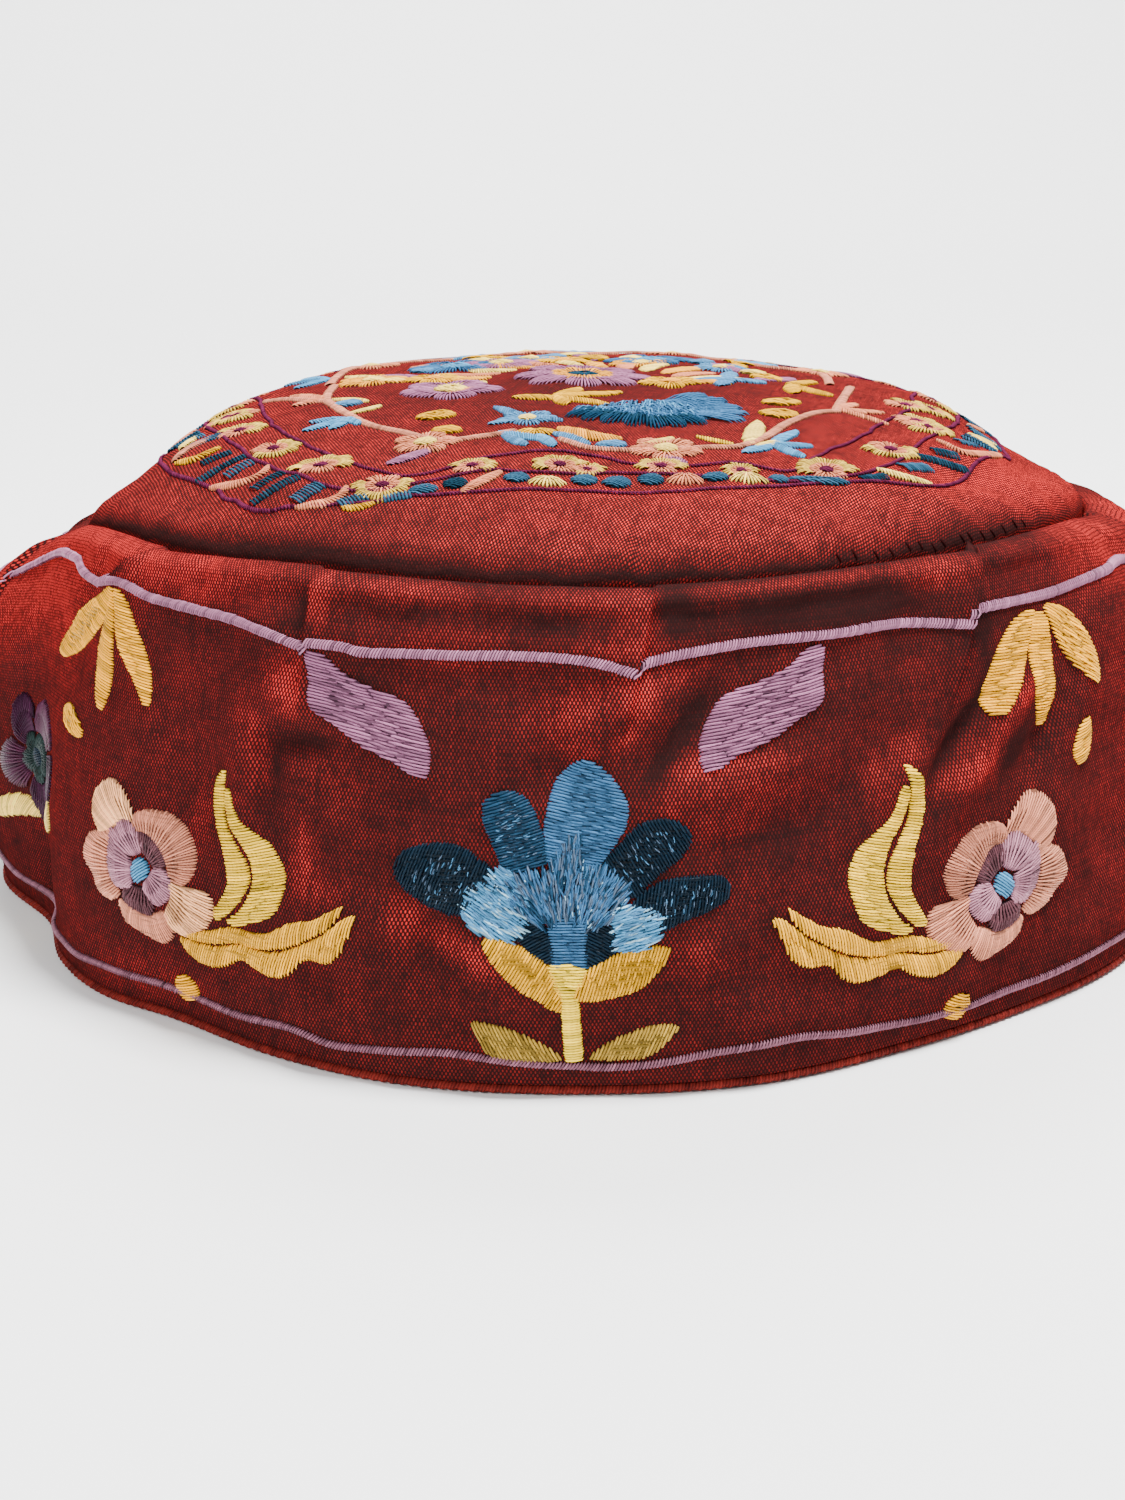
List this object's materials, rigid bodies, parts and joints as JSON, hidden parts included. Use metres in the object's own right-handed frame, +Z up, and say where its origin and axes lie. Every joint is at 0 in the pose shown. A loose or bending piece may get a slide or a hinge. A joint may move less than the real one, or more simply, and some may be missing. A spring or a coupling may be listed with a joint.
{
  "type": "embroidered skullcap",
  "caption": "Soft round skullcap of red shot silk: a domed crown, a pleated flaring side band and a rolled rim edging, hollow for the head.",
  "frame": {"origin": "middle of the rim, on the surface the cap stands on", "axes": "+Z up through the crown; the front of the cap, with the middle flower, faces -Y; +X is to the right seen from the front"},
  "size_m": [0.1971, 0.1908, 0.0805],
  "materials": {
    "shot_silk": "plain woven silk, red warp over dark weft, soft sheen",
    "rolled_edge": "red thread wound over a rolled silk edge",
    "embroidery_thread": "glossy satin-stitched rayon or silk thread in several colours"
  },
  "bodies": {
    "root": {"crown": "shot_silk", "side_band": "shot_silk", "hem_edging": "rolled_edge"}
  },
  "joints": []
}
